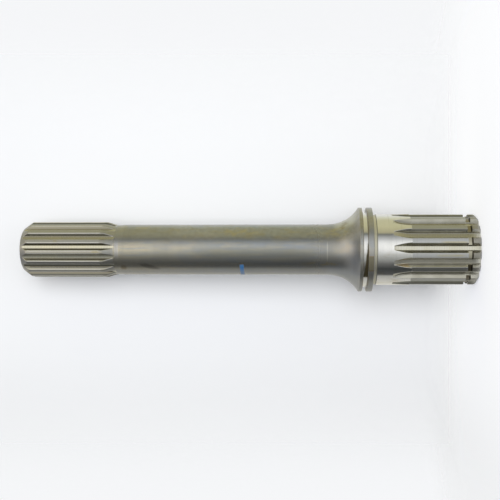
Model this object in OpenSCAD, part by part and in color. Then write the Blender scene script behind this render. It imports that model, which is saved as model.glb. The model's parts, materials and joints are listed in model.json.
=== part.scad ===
// Turbine shaft: one turned steel piece with a spline at each end.
// The axis is Z. The large end face stands on Z = 0 and the small spline is on top.

/* [Overall] */
// Length from end face to end face
shaft_len = 416; // [396:1:460]

/* [Tooth form] */
// Pressure angle of both splines
pressure_angle = 30; // [25:1:32]
// Share of the pitch that a tooth takes at the pitch circle
tooth_share = 0.53; // [0.48:0.01:0.56]
// Tooth tip above the pitch circle, in modules
addendum = 0.525; // [0.45:0.005:0.6]
// Tooth root below the pitch circle, in modules
dedendum = 0.45; // [0.4:0.01:0.6]
// Radius of the disc cutter that leaves the curved run-outs
cutter_r = 38; // [30:1:45]

/* [Large spline] */
// Number of teeth
large_teeth = 15; // [14:1:16]
// Module: pitch diameter over number of teeth
large_module = 4; // [3.8:0.1:4.2]
// Length of the spline's lands, up to the journal
large_len = 60.5; // [50:0.1:70]
// Length of the tooth spaces at full depth
large_full_len = 59; // [45:0.5:66]
// Chamfer on the end of the teeth
large_chamfer = 2; // [0.5:0.5:3]
// Angle of one tooth space about the axis
large_space_angle = 272.5; // [0:0.5:360]

/* [Snap ring groove] */
// Distance from the large end face
snap_from_end = 7.4; // [4:0.1:20]
// Width of the groove
snap_w = 4.2; // [2:0.1:6]
// Depth below the tooth tips
snap_depth = 2.4; // [1:0.1:3.5]

/* [Bearing journal] */
// Ground diameter
journal_d = 65; // [64.6:0.1:68]
// Length of the ground seat
journal_len = 30.6; // [24:0.1:40]
// Width of the relief between journal and collar
relief_w = 3.2; // [2:0.1:6]
// Depth of the relief
relief_depth = 0.8; // [0.3:0.1:2]

/* [Seal ring collar] */
// Diameter of the two rims
collar_d = 77.2; // [72:0.2:84]
// Width of the rim beside the journal
journal_rim_w = 5.2; // [3:0.1:8]
// Width of the seal ring groove
seal_w = 4; // [2.5:0.1:6]
// Depth of the seal ring groove
seal_depth = 4.5; // [2:0.1:6]
// Width of the rim beside the flare
flare_rim_w = 3; // [2:0.1:6]
// Broken edge on the rims
edge_break = 0.4; // [0.1:0.1:0.8]

/* [Shank] */
// Diameter of the plain shank
shank_d = 46.4; // [46:0.2:50]
// Radius of the concave flare between collar and shank
flare_r = 32; // [24:1:44]
// Step left at the foot of the flare
flare_step = 0.15; // [0.05:0.05:0.5]
// Length of the shallow neck beside the small spline
neck_len = 7; // [4:0.5:12]
// Depth of the neck
neck_depth = 0.2; // [0.1:0.05:0.3]
// Length of the blend from shank to neck
neck_blend = 1.5; // [0.5:0.5:3]

/* [Small spline] */
// Number of teeth
small_teeth = 16; // [15:1:17]
// Module: pitch diameter over number of teeth
small_module = 3; // [2.9:0.1:3.2]
// Length of the spline's lands, between ramp and end chamfer
small_land_len = 70.5; // [60:0.5:90]
// Length of the ramp from neck to tooth tips
ramp_len = 8.3; // [5:0.1:12]
// Length of the tooth spaces at full depth
small_full_len = 82; // [70:0.5:95]
// Axial length of the end chamfer
small_chamfer_len = 7; // [4:0.5:8]
// Angle between the end chamfer and the axis
small_chamfer_angle = 35; // [25:1:40]
// Angle of one tooth space about the axis
small_space_angle = 275.8; // [0:0.1:360]

/* [Centre holes] */
// Diameter of the 60 degree countersink at the end face
centre_mouth_d = 13.2; // [9:0.1:16]
// Diameter of the pilot drill
pilot_d = 6.3; // [4:0.1:8]
// Depth of the pilot drill's straight wall
pilot_depth = 14; // [10:0.5:20]

/* [Hidden] */

$fn = 96;
// Segments along each involute flank
flank_steps = 4;
// How far a cutter passes the surface that it leaves
overcut = 1;
// Sweep of the disc cutter that carries it clear of the shaft
run_out_sweep = 60;
// Half angle of the countersink and of the drill's tip
countersink_half = 30;
drill_tip_half = 59;

large_tip_r = tip_r(large_module, large_teeth);
small_tip_r = tip_r(small_module, small_teeth);
journal_r = journal_d / 2;
collar_r = collar_d / 2;
shank_r = shank_d / 2;
neck_r = shank_r - neck_depth;
small_end_r = small_tip_r - small_chamfer_len * tan(small_chamfer_angle);

// Heights of the turned steps, from the large end upwards
snap_z = snap_from_end;
relief_z = large_len + journal_len;
journal_rim_z = relief_z + relief_w;
seal_z = journal_rim_z + journal_rim_w;
flare_rim_z = seal_z + seal_w;
flare_z = flare_rim_z + flare_rim_w;
flare_drop = collar_r - shank_r - flare_step;
shank_z = flare_z + sqrt(pow(flare_r, 2) - pow(flare_r - flare_drop, 2));
chamfer_z = shaft_len - small_chamfer_len;
land_z = chamfer_z - small_land_len;
ramp_z = land_z - ramp_len;
neck_z = ramp_z - neck_len;

function pitch_r(module_size, teeth) = module_size * teeth / 2;
function tip_r(module_size, teeth) = pitch_r(module_size, teeth) + addendum * module_size;
function root_r(module_size, teeth) = pitch_r(module_size, teeth) - dedendum * module_size;

// Involute function, in degrees
function involute(angle) = tan(angle) * 180 / PI - angle;

// Half angle that a tooth space takes at a radius
function half_space(module_size, teeth, radius) =
    let (base_r = pitch_r(module_size, teeth) * cos(pressure_angle))
    let (half_tooth = tooth_share * 180 / teeth + involute(pressure_angle) - involute(acos(base_r / radius)))
    180 / teeth - half_tooth;

// Outline of one tooth space across the axis: a flat floor between two involute flanks
function space_outline(module_size, teeth, outer_r) =
    let (inner_r = root_r(module_size, teeth))
    let (flank = [for (i = [0:flank_steps])
        let (radius = inner_r + (outer_r - inner_r) * i / flank_steps)
        let (angle = half_space(module_size, teeth, radius))
        radius * [cos(angle), sin(angle)]])
    concat(flank, [[outer_r, 0]], [for (i = [flank_steps:-1:0]) [flank[i][0], -flank[i][1]]]);

// Half section of a centre hole, from the axis to its mouth, for an end face at height 0
function centre_hole() = [
    [0, pilot_depth + pilot_d / 2 / tan(drill_tip_half)],
    [pilot_d / 2, pilot_depth],
    [pilot_d / 2, (centre_mouth_d - pilot_d) / 2 / tan(countersink_half)],
    [centre_mouth_d / 2, 0]];

// The same points from the other end face, in the opposite order
function turned_over(points) = [for (i = [len(points) - 1:-1:0]) [points[i][0], shaft_len - points[i][1]]];

// Half section of the turned blank, with the flare still a full disc
function blank_section() = concat(
    centre_hole(),
    [[large_tip_r - large_chamfer, 0],
     [large_tip_r, large_chamfer],
     [large_tip_r, snap_z],
     [large_tip_r - snap_depth, snap_z],
     [large_tip_r - snap_depth, snap_z + snap_w],
     [large_tip_r, snap_z + snap_w],
     [large_tip_r, large_len],
     [journal_r, large_len],
     [journal_r, relief_z],
     [journal_r - relief_depth, relief_z],
     [journal_r - relief_depth, journal_rim_z]],
    rim(journal_rim_z, seal_z),
    [[collar_r - seal_depth, seal_z],
     [collar_r - seal_depth, flare_rim_z],
     [collar_r - edge_break, flare_rim_z],
     [collar_r, flare_rim_z + edge_break],
     [collar_r, shank_z],
     [shank_r, shank_z],
     [shank_r, neck_z],
     [neck_r, neck_z + neck_blend],
     [neck_r, ramp_z],
     [small_tip_r, land_z],
     [small_tip_r, chamfer_z],
     [small_end_r, shaft_len]],
    turned_over(centre_hole()));

// Section of a collar rim with both edges broken
function rim(from_z, to_z) = [
    [collar_r - edge_break, from_z],
    [collar_r, from_z + edge_break],
    [collar_r, to_z - edge_break],
    [collar_r - edge_break, to_z]];

module turned_blank() {
    rotate_extrude()
        difference() {
            polygon(blank_section());
            translate([shank_r + flare_step + flare_r, shank_z])
                circle(flare_r);
        }
}

// One tooth space that starts below height 0 and runs out upwards along the cutter's arc
module tooth_space(module_size, teeth, outer_r, full_len) {
    outline = space_outline(module_size, teeth, outer_r);
    cutter_axis_r = outline[0][0] + cutter_r;
    translate([0, 0, -overcut])
        linear_extrude(full_len + overcut)
            polygon(outline);
    translate([cutter_axis_r, 0, full_len])
        rotate([90, 0, 180])
            rotate_extrude(angle = run_out_sweep)
                polygon([for (p = outline) [cutter_axis_r - p[0], p[1]]]);
}

module spline_spaces(module_size, teeth, outer_r, full_len, first_angle) {
    for (i = [0:teeth - 1])
        rotate(first_angle + i * 360 / teeth)
            tooth_space(module_size, teeth, outer_r, full_len);
}

module turbine_shaft() {
    color("#8c8b80")
        difference() {
            turned_blank();
            spline_spaces(large_module, large_teeth, max(large_tip_r, journal_r) + overcut,
                large_full_len, large_space_angle);
            translate([0, 0, shaft_len])
                mirror([0, 0, 1])
                    spline_spaces(small_module, small_teeth, small_tip_r + overcut,
                        small_full_len, small_space_angle);
        }
}

turbine_shaft();
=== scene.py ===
# %% [markdown]
# A turbine shaft, from bar to finished surface.
# The real shaft is one piece of steel. A lathe turns its outline, a disc cutter mills the tooth spaces
# at both ends, and a grinding wheel finishes the bearing journal. This lesson follows the same order:
# first the form, then one finish for each machine that touched it, then the light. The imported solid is
# the frame, so the first step loads it and keeps its box, because nothing made here may change the size.

# %% Load the frame
import json
from math import acos, atan2, ceil, cos, degrees, hypot, pi, radians, sin, sqrt, tan

import bmesh
import bpy
from mathutils import Matrix, Vector

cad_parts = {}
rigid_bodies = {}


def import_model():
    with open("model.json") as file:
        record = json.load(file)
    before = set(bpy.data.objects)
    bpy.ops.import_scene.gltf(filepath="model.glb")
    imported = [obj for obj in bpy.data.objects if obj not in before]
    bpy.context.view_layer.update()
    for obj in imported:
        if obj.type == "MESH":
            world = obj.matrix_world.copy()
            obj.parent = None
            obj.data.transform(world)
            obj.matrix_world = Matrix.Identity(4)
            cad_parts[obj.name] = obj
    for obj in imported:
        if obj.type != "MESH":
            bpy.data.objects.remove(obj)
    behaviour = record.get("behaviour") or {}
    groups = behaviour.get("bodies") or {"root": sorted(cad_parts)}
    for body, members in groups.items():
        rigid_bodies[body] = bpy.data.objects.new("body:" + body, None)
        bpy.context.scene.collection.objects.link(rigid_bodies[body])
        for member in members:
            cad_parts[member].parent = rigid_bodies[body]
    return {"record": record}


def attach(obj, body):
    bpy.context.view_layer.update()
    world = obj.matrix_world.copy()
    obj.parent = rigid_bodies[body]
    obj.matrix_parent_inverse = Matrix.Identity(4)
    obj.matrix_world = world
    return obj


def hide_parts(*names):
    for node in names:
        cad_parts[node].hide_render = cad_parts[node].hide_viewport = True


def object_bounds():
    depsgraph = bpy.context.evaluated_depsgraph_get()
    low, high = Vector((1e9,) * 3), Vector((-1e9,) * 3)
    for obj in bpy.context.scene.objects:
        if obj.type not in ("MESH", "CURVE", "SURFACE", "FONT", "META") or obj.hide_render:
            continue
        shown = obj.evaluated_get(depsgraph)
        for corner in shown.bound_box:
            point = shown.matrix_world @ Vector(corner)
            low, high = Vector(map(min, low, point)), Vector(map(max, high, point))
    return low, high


for leftover in list(bpy.data.objects):
    bpy.data.objects.remove(leftover)

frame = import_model()
cad_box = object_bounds()
MM = 0.001
SHAFT_LEN = (cad_box[1].z - cad_box[0].z) / MM
mounts = {mount["name"]: mount for mount in frame["record"]["mounts"]}
JOURNAL_R = mounts["bearing_journal"]["dims"]["r_mm"]
print(f"frame loaded: shaft {SHAFT_LEN:.1f} mm long, journal radius {JOURNAL_R} mm")

# %% [markdown]
# Curves.
# A few small curves shape the teeth and the edges. A bezier rounds a corner, an involute is the curve of
# a tooth's flank, and a path is a line through points that can be walked by its length. Blender has
# curve objects for this, but plain numbers are easier to cut off exactly where a tooth leaves the blank.

# %% Points, curves and paths
PRESSURE_ANGLE = radians(30)
SHORTEST = 1e-9


def between(first, second, share):
    return tuple(a + (b - a) * share for a, b in zip(first, second))


def bezier(first, corner, last, share):
    return between(between(first, corner, share), between(corner, last, share), share)


def apart(first, second):
    return hypot(second[0] - first[0], second[1] - first[1])


def involute(angle):
    return tan(angle) - angle


class Path:
    """A line through points across the axis, walked by its length."""

    def __init__(self, points):
        self.points = points
        self.lengths = [0.0]
        for first, second in zip(points, points[1:]):
            self.lengths.append(self.lengths[-1] + apart(first, second))

    def at(self, length):
        for k in range(1, len(self.points)):
            step = self.lengths[k] - self.lengths[k - 1]
            if self.lengths[k] >= length:
                share = (length - self.lengths[k - 1]) / max(step, SHORTEST)
                return between(self.points[k - 1], self.points[k], share)
        return self.points[-1]

    def leaves(self, radius):
        """The length and the place at which the path first gets this far from the axis."""
        k = next(k for k in range(1, len(self.points)) if hypot(*self.points[k]) >= radius)
        inner_r, outer_r = hypot(*self.points[k - 1]), hypot(*self.points[k])
        share = (radius - inner_r) / (outer_r - inner_r)
        length = self.lengths[k - 1] + share * (self.lengths[k] - self.lengths[k - 1])
        return length, between(self.points[k - 1], self.points[k], share)


print(f"involute of the pressure angle: {degrees(involute(PRESSURE_ANGLE)):.3f} degrees")

# %% [markdown]
# Tooth spaces.
# Each spline is a ring of equal spaces cut into the turned blank. A space has a flat floor, a small
# fillet at each side and two involute flanks. A Boolean cut would leave ragged edges that shade badly,
# so the shape across the axis is worked out instead, point by point, and the same number of points is
# kept at every height. Where the disc cutter lifts out of the work, each point of the outline moves
# outwards along the cutter's own arc, which gives the curved run-outs.

# %% Tooth form
TOOTH_SHARE, ADDENDUM, DEDENDUM = 0.53, 0.525, 0.45
CUTTER_R, ROOT_FILLET = 38.0, 0.25
FILLET_POINTS, FLANK_POINTS, PAST_TIP = 4, 16, 1.0
FLOOR_STEPS, FILLET_STEPS, ROUND_STEPS, LAND_STEPS = 3, 2, 3, 3
ROUND_OF_FLANK, ROUND_OF_LAND = 0.3, 0.4
TINY = 0.002


class Spline:
    """A ring of equal tooth spaces. The cutter lifts out upwards (lift 1) or downwards (lift -1)."""

    def __init__(self, finish, teeth, module, space_angle, full_z, lift, flank_steps, tip_round):
        self.finish, self.teeth, self.full_z, self.lift = finish, teeth, full_z, lift
        self.flank_steps, self.tip_round = flank_steps, tip_round
        self.first = radians(space_angle)
        self.pitch_r = module * teeth / 2
        self.tip_r = self.pitch_r + ADDENDUM * module
        self.root_r = self.pitch_r - DEDENDUM * module
        self.space_columns = FLOOR_STEPS + FILLET_STEPS + flank_steps
        self.half_columns = self.space_columns + ROUND_STEPS + LAND_STEPS
        self.outline = self.half_outline()
        self.floor_x = self.outline[0][0]
        self.floor_half = self.flank_point(self.root_r)[1]

    def flank_point(self, radius):
        base_r = self.pitch_r * cos(PRESSURE_ANGLE)
        turned = involute(PRESSURE_ANGLE) - involute(acos(base_r / radius))
        angle = pi / self.teeth - (TOOTH_SHARE * pi / self.teeth + turned)
        return radius * cos(angle), radius * sin(angle)

    def half_outline(self):
        """From the middle of the floor, round the fillet and up one flank to just past the tip."""
        corner = self.flank_point(self.root_r)
        floor_end = (corner[0], corner[1] - ROOT_FILLET)
        foot_r = self.root_r + ROOT_FILLET
        foot = self.flank_point(foot_r)
        fillet = [bezier(floor_end, corner, foot, k / FILLET_POINTS) for k in range(FILLET_POINTS + 1)]
        climb = (self.tip_r + PAST_TIP - foot_r) / FLANK_POINTS
        flank = [self.flank_point(foot_r + climb * k) for k in range(1, FLANK_POINTS + 1)]
        return [(corner[0], 0.0)] + fillet + flank

    def half_section(self, blank_r, height):
        """Columns (radius, angle) from mid space to mid tooth, or None where nothing is cut."""
        lifted = max(0.0, (height - self.full_z) * self.lift)
        axis_x = self.floor_x + CUTTER_R
        if lifted > CUTTER_R / 2:
            return None
        path = Path([(axis_x - sqrt((axis_x - x) ** 2 - lifted ** 2), y) for x, y in self.outline])
        if path.points[0][0] > blank_r - TINY:
            return None
        exit_at, edge = path.leaves(blank_r)
        edge_angle = atan2(edge[1], edge[0])
        land = pi / self.teeth - edge_angle
        cut = min(self.tip_round, ROUND_OF_FLANK * exit_at, ROUND_OF_LAND * land * blank_r)
        floor_end, foot = (min(path.lengths[k], exit_at - cut) for k in (1, 1 + FILLET_POINTS))
        stops = [0.0, floor_end, foot, exit_at - cut]
        points = [path.at(0.0)]
        for start, end, steps in zip(stops, stops[1:], (FLOOR_STEPS, FILLET_STEPS, self.flank_steps)):
            points += [path.at(start + (end - start) * k / steps) for k in range(1, steps + 1)]
        round_end = edge_angle + cut / blank_r
        last = (blank_r * cos(round_end), blank_r * sin(round_end))
        points += [bezier(points[-1], edge, last, k / ROUND_STEPS) for k in range(1, ROUND_STEPS + 1)]
        columns = [(hypot(x, y), atan2(y, x)) for x, y in points]
        rest = pi / self.teeth - round_end
        columns += [(blank_r, round_end + rest * k / LAND_STEPS) for k in range(1, LAND_STEPS + 1)]
        return columns

    def section(self, blank_r, height):
        """The whole ring of columns (radius, angle) at this height, or None."""
        half = self.half_section(blank_r, height)
        if half is None:
            return None
        pitch = 2 * pi / self.teeth
        one = half + [(radius, pitch - angle) for radius, angle in half[-2:0:-1]]
        return [(r, self.first + pitch * n + a) for n in range(self.teeth) for r, a in one]

    def is_space(self, column):
        """True for a face that starts at this column and lies in a tooth space."""
        place = column % (2 * self.half_columns)
        return place < self.space_columns or place >= 2 * self.half_columns - self.space_columns

    def run_out(self, blank_r):
        """How far past full depth the cutter leaves a blank of this radius."""
        return sqrt(CUTTER_R ** 2 - (CUTTER_R + self.floor_x - blank_r) ** 2)


print(f"cutter radius {CUTTER_R} mm, root fillet {ROOT_FILLET} mm")

# %% [markdown]
# The two splines.
# The large spline takes a gear or a clutch hub and the small one takes the turbine wheel. Each face of
# the mesh will carry the number of its finish, so those numbers are set here too. Both splines get the
# same number of columns, which lets one grid run through the whole shaft.

# %% The two splines
TURNED, LANDS, GROUND, LARGE_SPACES, SMALL_SPACES, FACED = range(6)
large = Spline(
    LARGE_SPACES, teeth=15, module=4, space_angle=272.5, full_z=59.0, lift=1,
    flank_steps=5, tip_round=0.22)
small = Spline(
    SMALL_SPACES, teeth=16, module=3, space_angle=275.8, full_z=334.0, lift=-1,
    flank_steps=4, tip_round=0.6)
COLUMNS = 2 * large.teeth * large.half_columns
for size, spline in (("large", large), ("small", small)):
    print(f"{size} spline: tip radius {spline.tip_r:.2f} mm, root radius {spline.root_r:.2f} mm")
print(f"{COLUMNS} columns round the shaft, {2 * small.teeth * small.half_columns} at the small spline")

# %% [markdown]
# The turned outline.
# From the large end upwards the blank has a spline, a ground journal, a collar of two rims with a groove
# for a seal ring, a concave flare, a plain shank, a shallow neck and the small spline. Most heights are
# worked out from the step beside them, as a drawing for the lathe would give them.

# %% Steps of the blank
CHAMFER = 2.0
SNAP_Z, SNAP_W, SNAP_DEPTH = 7.4, 4.2, 2.4
LARGE_LEN = 60.5
RELIEF_Z, RELIEF_W, RELIEF_DEPTH = 91.1, 3.2, 0.8
COLLAR_R, EDGE_BREAK = 38.6, 0.4
JOURNAL_RIM_W, FLARE_RIM_W = 5.2, 3.0
RIM_Z = RELIEF_Z + RELIEF_W
SEAL_Z, SEAL_W, SEAL_DEPTH = RIM_Z + JOURNAL_RIM_W, 4.0, 4.5
FLARE_RIM_Z = SEAL_Z + SEAL_W
FLARE_Z = FLARE_RIM_Z + FLARE_RIM_W
SHANK_R, FLARE_R, FLARE_STEP = 23.2, 32.0, 0.15
FLARE_X = SHANK_R + FLARE_STEP + FLARE_R
SHANK_Z = FLARE_Z + sqrt(FLARE_R ** 2 - (FLARE_X - COLLAR_R) ** 2)
NECK_DEPTH, NECK_LEN, NECK_BLEND = 0.2, 7.0, 1.5
NECK_R = SHANK_R - NECK_DEPTH
SMALL_CHAMFER, SMALL_CHAMFER_SLOPE = 7.0, tan(radians(35))
SMALL_LAND_LEN, RAMP_LEN = 70.5, 8.3
CHAMFER_Z = SHAFT_LEN - SMALL_CHAMFER
LAND_Z = CHAMFER_Z - SMALL_LAND_LEN
RAMP_Z = LAND_Z - RAMP_LEN
NECK_Z = RAMP_Z - NECK_LEN
SMALL_END_R = small.tip_r - SMALL_CHAMFER * SMALL_CHAMFER_SLOPE
MOUTH_R, PILOT_R, PILOT_DEPTH = 6.6, 3.15, 14.0
PILOT_TOP = (MOUTH_R - PILOT_R) / tan(radians(30))
DRILL_TIP = PILOT_DEPTH + PILOT_R / tan(radians(59))
print(f"collar from {RIM_Z:.1f} to {FLARE_Z:.1f} mm, shank from {SHANK_Z:.1f} to {NECK_Z:.1f} mm")

# %% [markdown]
# Corners.
# A lathe leaves no perfectly sharp edge: every corner has a small break that catches light. So the
# outline is a list of corners, each with its radius, its height, how much of the corner is rounded away,
# the finish of the stretch that follows and the longest step between rows there. Where a tooth space
# starts or ends, two corners stand close together so that the rows meet its edge.

# %% Corners of the outline
FLARE_ROWS = 18
END_LIP = 0.3


def flare_corners():
    """Points on the concave flare, from the collar's rim to the shank."""
    start = atan2(FLARE_Z - SHANK_Z, COLLAR_R - FLARE_X)
    sweep = -pi - start
    turns = [start + sweep * k / FLARE_ROWS for k in range(1, FLARE_ROWS)]
    places = [(FLARE_X + FLARE_R * cos(turn), SHANK_Z + FLARE_R * sin(turn)) for turn in turns]
    return [(*place, 0, TURNED, None) for place in places]


large_tip_z = large.full_z + large.run_out(JOURNAL_R)
small_tip_z = small.full_z - small.run_out(NECK_R)
floor_cone_z = CHAMFER_Z + (small.tip_r - small.floor_x) / SMALL_CHAMFER_SLOPE
corner_list = [
    (0, DRILL_TIP, 0, FACED, None),
    (PILOT_R, PILOT_DEPTH, 0.1, FACED, None),
    (PILOT_R, PILOT_TOP, 0.15, FACED, None),
    (MOUTH_R, 0, 0.25, FACED, 8),
    (large.floor_x - 0.2, 0, 0, FACED, None),
    (large.floor_x + 0.05, 0, 0, FACED, None),
    (large.tip_r - CHAMFER, 0, 0.25, LANDS, None),
    (large.tip_r, CHAMFER, 0.3, LANDS, None),
    (large.tip_r, SNAP_Z, 0.25, LANDS, None),
    (large.tip_r - SNAP_DEPTH, SNAP_Z, 0.3, LANDS, None),
    (large.tip_r - SNAP_DEPTH, SNAP_Z + SNAP_W, 0.3, LANDS, None),
    (large.tip_r, SNAP_Z + SNAP_W, 0.25, LANDS, 16),
    (large.tip_r, large.full_z, 0, LANDS, 0.8),
    (large.tip_r, LARGE_LEN, 0.1, GROUND, None),
    (JOURNAL_R, LARGE_LEN, 0.15, GROUND, 1.0),
    (JOURNAL_R, large_tip_z - 0.5, 0, GROUND, 0.15),
    (JOURNAL_R, large_tip_z - 0.02, 0, GROUND, None),
    (JOURNAL_R, large_tip_z + 0.03, 0, GROUND, 1.5),
    (JOURNAL_R, large_tip_z + 5.0, 0, GROUND, None),
    (JOURNAL_R, RELIEF_Z, 0.3, TURNED, None),
    (JOURNAL_R - RELIEF_DEPTH, RELIEF_Z, 0.3, TURNED, None),
    (JOURNAL_R - RELIEF_DEPTH, RIM_Z, 0.5, TURNED, None),
    (COLLAR_R - EDGE_BREAK, RIM_Z, 0.2, TURNED, None),
    (COLLAR_R, RIM_Z + EDGE_BREAK, 0.2, TURNED, None),
    (COLLAR_R, SEAL_Z - EDGE_BREAK, 0.2, TURNED, None),
    (COLLAR_R - EDGE_BREAK, SEAL_Z, 0.2, TURNED, None),
    (COLLAR_R - SEAL_DEPTH, SEAL_Z, 0.3, GROUND, None),
    (COLLAR_R - SEAL_DEPTH, FLARE_RIM_Z, 0.3, TURNED, None),
    (COLLAR_R - EDGE_BREAK, FLARE_RIM_Z, 0.2, TURNED, None),
    (COLLAR_R, FLARE_RIM_Z + EDGE_BREAK, 0.2, TURNED, None),
    (COLLAR_R, FLARE_Z, 0.35, TURNED, None),
    *flare_corners(),
    (SHANK_R + FLARE_STEP, SHANK_Z, 0, TURNED, None),
    (SHANK_R, SHANK_Z + 0.1, 0.05, TURNED, 20),
    (SHANK_R, NECK_Z, 0.6, TURNED, None),
    (NECK_R, NECK_Z + NECK_BLEND, 0.6, TURNED, None),
    (NECK_R, small_tip_z - 2.0, 0, TURNED, 0.9),
    (NECK_R, small_tip_z - 0.03, 0, TURNED, None),
    (NECK_R, small_tip_z + 0.03, 0, TURNED, 0.5),
    (NECK_R, RAMP_Z, 0.8, LANDS, 0.9),
    (small.tip_r, LAND_Z, 0.9, LANDS, 24),
    (small.tip_r, CHAMFER_Z, 0.5, LANDS, 0.7),
    (small.floor_x + 0.01, floor_cone_z - 0.015, 0, LANDS, None),
    (SMALL_END_R + END_LIP * SMALL_CHAMFER_SLOPE, SHAFT_LEN - END_LIP, 0, LANDS, None),
    (SMALL_END_R, SHAFT_LEN, 0.25, FACED, 6),
    (MOUTH_R, SHAFT_LEN, 0.25, FACED, None),
    (PILOT_R, SHAFT_LEN - PILOT_TOP, 0.15, FACED, None),
    (PILOT_R, SHAFT_LEN - PILOT_DEPTH, 0.1, FACED, None),
    (0, SHAFT_LEN - DRILL_TIP, 0, FACED, None),
]
print(f"{len(corner_list)} corners, run-outs end at {large_tip_z:.1f} and {small_tip_z:.1f} mm")

# %% [markdown]
# Rows.
# Each corner becomes a small arc, and long stretches between corners are divided so that no face is too
# long. A bevel modifier could round the corners too, but it would also touch the teeth, whose edges have
# their own rounding.

# %% Rows along the shaft
CORNER_STEPS = 2
ROUND_OF_STRETCH = 0.45


def corner_arc(corners, k):
    """Rows of the arc that rounds one corner, from its start to its end."""
    r, z, cut = corners[k][:3]
    if cut == 0:
        return [(r, z)]
    before, after = corners[k - 1][:2], corners[k + 1][:2]
    start = between((r, z), before, min(cut / apart(before, (r, z)), ROUND_OF_STRETCH))
    end = between((r, z), after, min(cut / apart((r, z), after), ROUND_OF_STRETCH))
    return [bezier(start, (r, z), end, n / CORNER_STEPS) for n in range(CORNER_STEPS + 1)]


def rows_from(corners):
    """Rows (radius, height, finish of the stretch that follows), with every corner rounded."""
    arcs = [corner_arc(corners, k) for k in range(len(corners))]
    rows = []
    for k, (*_, finish, step) in enumerate(corners):
        rows += [(*place, finish) for place in arcs[k]]
        if step:
            here, there = arcs[k][-1], arcs[k + 1][0]
            pieces = ceil(apart(here, there) / step)
            rows += [(*between(here, there, n / pieces), finish) for n in range(1, pieces)]
    return rows


rows = rows_from(corner_list)
print(f"{len(rows)} rows along the shaft")

# %% [markdown]
# Columns.
# On plain stretches the columns are evenly spaced round the shaft. Near a spline they ease over a few
# millimetres into the columns of the teeth, so no face is torn.

# %% Ease the columns
EASE_LEN = 5.0


def section_at(radius, height):
    spline = large if height < SHANK_Z else small
    return spline, spline.section(radius, height)


def plain_angle(height, column):
    """Even spacing that turns slowly from the large spline's first space to the small one's."""
    share = min(max((height - large_tip_z) / (small_tip_z - large_tip_z), 0), 1)
    return large.first + (small.first - large.first) * share + 2 * pi * column / COLUMNS


def eased_rings(rows):
    """The columns (radius, angle) of every row, and whether each row is cut by a spline."""
    cut = [section_at(r, z)[1] for r, z, _ in rows]
    rings = list(cut)
    for order in (range(len(rows)), range(len(rows) - 1, -1, -1)):
        held, gone, before = None, 0.0, None
        for k in order:
            r, z, _ = rows[k]
            if before is not None:
                gone += apart(before, (r, z))
            before = (r, z)
            if cut[k]:
                held, gone = cut[k], 0.0
            elif held and gone < EASE_LEN:
                share = gone / EASE_LEN
                even = [plain_angle(z, c) for c in range(COLUMNS)]
                rings[k] = [(r, a + (e - a) * share) for (_, a), e in zip(held, even)]
    for k, (r, z, _) in enumerate(rows):
        if rings[k] is None:
            rings[k] = [(r, plain_angle(z, c)) for c in range(COLUMNS)]
    return rings, [ring is not None for ring in cut]


rings, is_cut = eased_rings(rows)
print(f"{sum(is_cut)} of {len(rows)} rows are cut by a spline")

# %% [markdown]
# The mesh.
# Rows and columns make a grid of quads that follows every tooth and step. Each face gets the finish of
# the tool that made it: lathe, grinding wheel, cutter or facing tool. Weighted normals keep the flats
# flat and let only the rounded edges bend the light.

# %% Build the shaft's mesh
SAME_POINT, NO_LENGTH = 0.001 * MM, 0.0005 * MM


def shaft_mesh():
    verts = []
    for (_, z, _), ring in zip(rows, rings):
        verts += [(r * cos(a) * MM, r * sin(a) * MM, z * MM) for r, a in ring]
    faces, face_finishes = [], []
    for k in range(len(rows) - 1):
        spline = section_at(*rows[k][:2])[0]
        toothed = is_cut[k] and is_cut[k + 1]
        low, high = k * COLUMNS, (k + 1) * COLUMNS
        for c in range(COLUMNS):
            d = (c + 1) % COLUMNS
            faces.append((low + c, low + d, high + d, high + c))
            in_space = toothed and spline.is_space(c)
            face_finishes.append(spline.finish if in_space else rows[k][2])
    mesh = bpy.data.meshes.new("finished_shaft")
    mesh.from_pydata(verts, [], faces)
    mesh.polygons.foreach_set("material_index", face_finishes)
    grid = bmesh.new()
    grid.from_mesh(mesh)
    bmesh.ops.remove_doubles(grid, verts=grid.verts, dist=SAME_POINT)
    bmesh.ops.dissolve_degenerate(grid, edges=grid.edges, dist=NO_LENGTH)
    for face in grid.faces:
        face.smooth = True
    grid.to_mesh(mesh)
    grid.free()
    return mesh


shaft = bpy.data.objects.new("finished_shaft", shaft_mesh())
bpy.context.scene.collection.objects.link(shaft)
weighted = shaft.modifiers.new("flat faces lead", "WEIGHTED_NORMAL")
weighted.mode = "FACE_AREA"
weighted.weight = 50
triangles = sum(len(face.vertices) - 2 for face in shaft.data.polygons)
print(f"shaft mesh: {len(shaft.data.vertices)} points, {triangles} triangles")

# %% [markdown]
# Shader sums in Python.
# A finish is a sum of many small effects: rings from the tool, a film of oil, stains, marks. Wiring
# those by hand hides the idea, so one small class wraps a socket and lets plain Python sums add the Math
# nodes. One method makes every other kind of node.

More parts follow.
